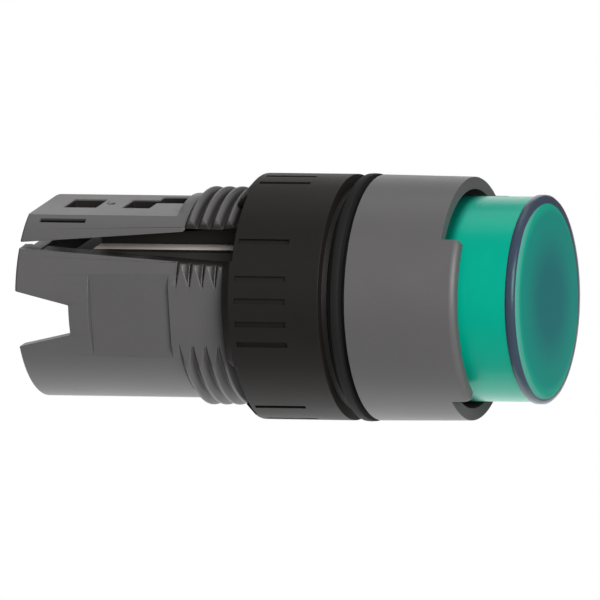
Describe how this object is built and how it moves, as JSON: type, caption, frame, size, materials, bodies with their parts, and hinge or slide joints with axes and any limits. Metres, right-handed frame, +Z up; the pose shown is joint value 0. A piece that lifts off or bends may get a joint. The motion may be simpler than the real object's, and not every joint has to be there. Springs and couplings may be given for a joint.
{
  "type": "illuminated push button head",
  "caption": "Round panel-mount push button head with a projecting transparent green cap, a threaded sleeve, a ring nut and a slotted rear skirt for a contact block.",
  "frame": {"origin": "on the button axis, in the plane where the front of the panel meets the gasket", "axes": "+X along the button axis towards the cap, +Z up with the sprung arm on top, -Y the side shown in the picture"},
  "size_m": [0.0388, 0.0182, 0.0182],
  "materials": {
    "body_plastic": "satin moulded grey",
    "gasket_rubber": "matt",
    "nut_plastic": "satin moulded black",
    "green_lens": "polished, transparent",
    "diffuser_plastic": "translucent",
    "carrier_plastic": "moulded",
    "seal_rubber": "matt",
    "plunger_plastic": "moulded",
    "ring_plastic": "moulded",
    "boot_rubber": "matt",
    "spring_steel": "drawn wire"
  },
  "bodies": {
    "housing": {"barrel": "body_plastic", "panel_gasket": "gasket_rubber", "clamp_ring": "ring_plastic", "sealing_boot": "boot_rubber", "return_spring": "spring_steel"},
    "button": {"lens_cap": "green_lens", "diffuser_disc": "diffuser_plastic", "lens_seal": "seal_rubber", "lens_carrier": "carrier_plastic", "plunger": "plunger_plastic"},
    "nut": {"mounting_nut": "nut_plastic"}
  },
  "joints": [
    {"name": "button_press", "type": "slide", "parent": "housing", "child": "button", "axis": [-1, 0, 0], "range_m": [0, 0.003], "stiffness_N_per_m": 400, "springref_m": -0.004, "deforming": ["return_spring", "sealing_boot"]},
    {"name": "nut_travel", "type": "slide", "parent": "housing", "child": "nut", "axis": [-1, 0, 0], "range_m": [0, 0.006]}
  ]
}
